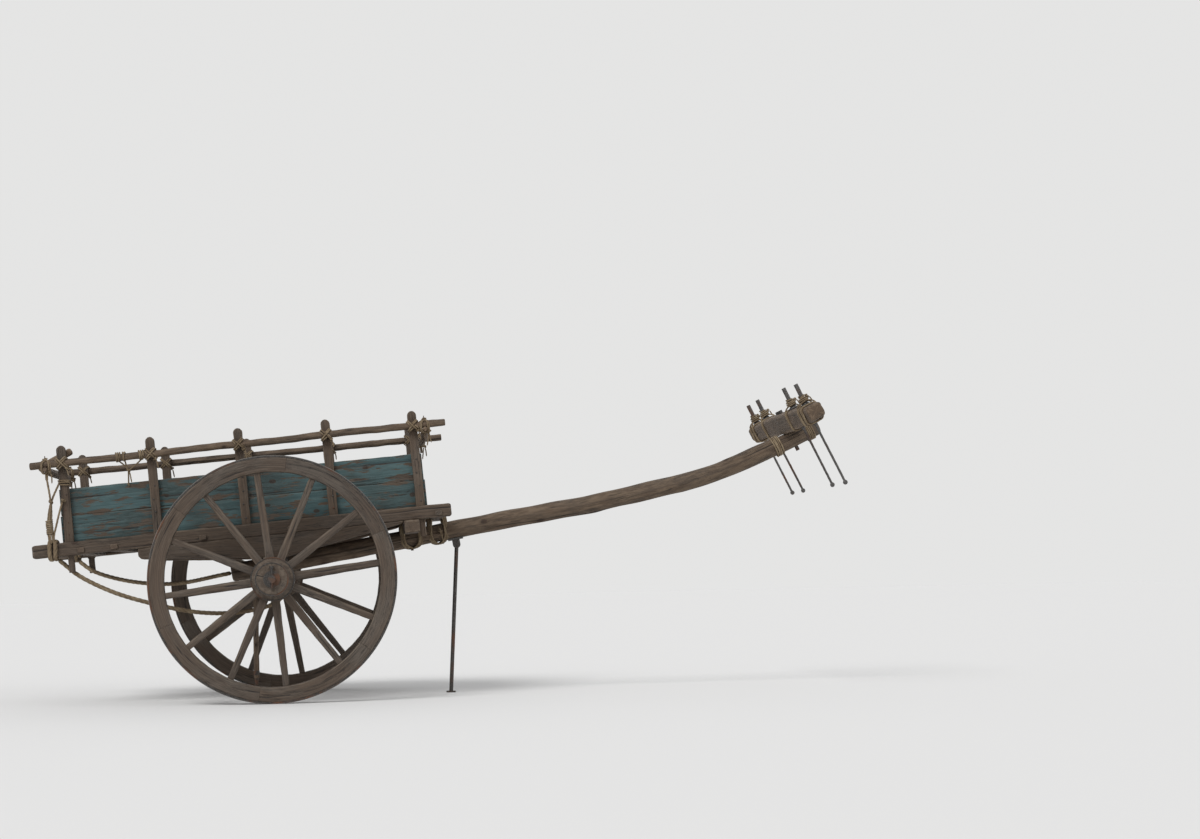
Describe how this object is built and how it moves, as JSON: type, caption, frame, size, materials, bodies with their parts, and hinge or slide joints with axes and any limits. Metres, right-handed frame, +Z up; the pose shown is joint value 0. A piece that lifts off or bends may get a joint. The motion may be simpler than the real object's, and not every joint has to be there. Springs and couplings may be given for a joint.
{
  "type": "two-wheeled bullock cart",
  "caption": "Two-wheeled wooden cart with spoked wheels, a staked box, a long pole and a yoke, standing on its prop.",
  "frame": {"origin": "on the ground under the middle of the whole cart's box, pole and yoke included", "axes": "+X forward along the pole, +Y to the cart's left, +Z up"},
  "size_m": [4.0048, 1.769, 1.5168],
  "materials": {
    "frame_wood": "weathered, unpainted",
    "wheel_wood": "weathered, unpainted",
    "board_wood": "faded blue-green paint on weathered boards",
    "iron": "dark forged iron",
    "iron_tyre": "worn iron tyre",
    "rope": "coir rope"
  },
  "bodies": {
    "cart": {"axle_shaft": "iron", "axle_bed": "frame_wood", "axle_washers": "iron", "linchpins": "iron", "axle_clips": "iron", "side_beam_left": "frame_wood", "side_beam_right": "frame_wood", "cross_bearers": "frame_wood", "floor_planks": "frame_wood", "stakes_left": "frame_wood", "stakes_right": "frame_wood", "side_boards_left": "board_wood", "side_boards_right": "board_wood", "rail_left": "frame_wood", "rail_right": "frame_wood", "cross_bars": "frame_wood", "rail_pegs": "frame_wood", "rope_lever": "frame_wood", "sill_left": "frame_wood", "sill_right": "frame_wood", "pole": "frame_wood", "pole_bearer": "frame_wood", "pole_bolt": "iron", "prop_lugs": "iron", "stick_lugs": "iron", "king_pin": "iron", "rope_left": "rope", "rope_right": "rope", "rope_ties": "rope"},
    "wheel_left": {"hub_left": "wheel_wood", "hub_bands_left": "iron", "hub_box_left": "iron", "spokes_left": "wheel_wood", "felloes_left": "wheel_wood", "tyre_left": "iron_tyre"},
    "wheel_right": {"hub_right": "wheel_wood", "hub_bands_right": "iron", "hub_box_right": "iron", "spokes_right": "wheel_wood", "felloes_right": "wheel_wood", "tyre_right": "iron_tyre"},
    "prop": {"prop_rod": "iron"},
    "hill_stick": {"hill_stick": "frame_wood"},
    "yoke": {"yoke_beam": "frame_wood", "yoke_pins": "frame_wood"}
  },
  "joints": [
    {"name": "wheel_left_spin", "type": "hinge", "parent": "cart", "child": "wheel_left", "pos_m": [-0.82356, 0.7, 0.595], "axis": [0, 1, 0], "continuous": true},
    {"name": "wheel_right_spin", "type": "hinge", "parent": "cart", "child": "wheel_right", "pos_m": [-0.82356, -0.7, 0.595], "axis": [0, 1, 0], "continuous": true},
    {"name": "prop_swing", "type": "hinge", "parent": "cart", "child": "prop", "pos_m": [0.08764, 0, 0.7555], "axis": [0, -1, 0], "range_deg": [0, 98]},
    {"name": "hill_stick_swing", "type": "hinge", "parent": "cart", "child": "hill_stick", "pos_m": [-0.92656, -0.225, 0.632], "axis": [0, 1, 0], "range_deg": [-25, 36]},
    {"name": "yoke_swivel", "type": "hinge", "parent": "cart", "child": "yoke", "pos_m": [1.8518, 0, 1.27787], "axis": [-0.4384, 0, 0.8988], "range_deg": [-20, 20]}
  ]
}
